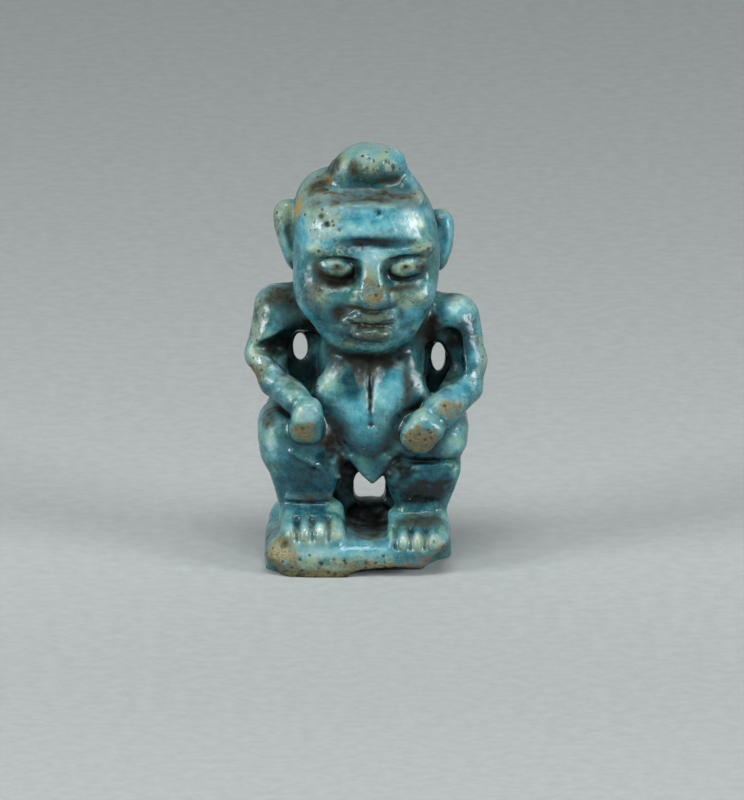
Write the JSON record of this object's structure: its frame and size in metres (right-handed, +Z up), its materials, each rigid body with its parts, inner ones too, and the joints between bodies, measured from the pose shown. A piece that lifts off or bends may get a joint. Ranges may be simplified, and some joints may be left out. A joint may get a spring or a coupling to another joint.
{
  "type": "standing dwarf god amulet (pataikos)",
  "caption": "Small glazed amulet of a bow-legged dwarf god with a beetle on his bald head, fists on his thighs, on a low base.",
  "frame": {"origin": "on the ground under the middle of the figure's box", "axes": "+Z up, the face looks along -Y, the figure's own left hand is at +X"},
  "size_m": [0.0168, 0.011, 0.03],
  "materials": {
    "faience": "glossy turquoise glaze, dark in the recesses, worn to olive and bare brown body on the high points"
  },
  "bodies": {
    "root": {"pataikos_figure": "faience"}
  },
  "joints": []
}
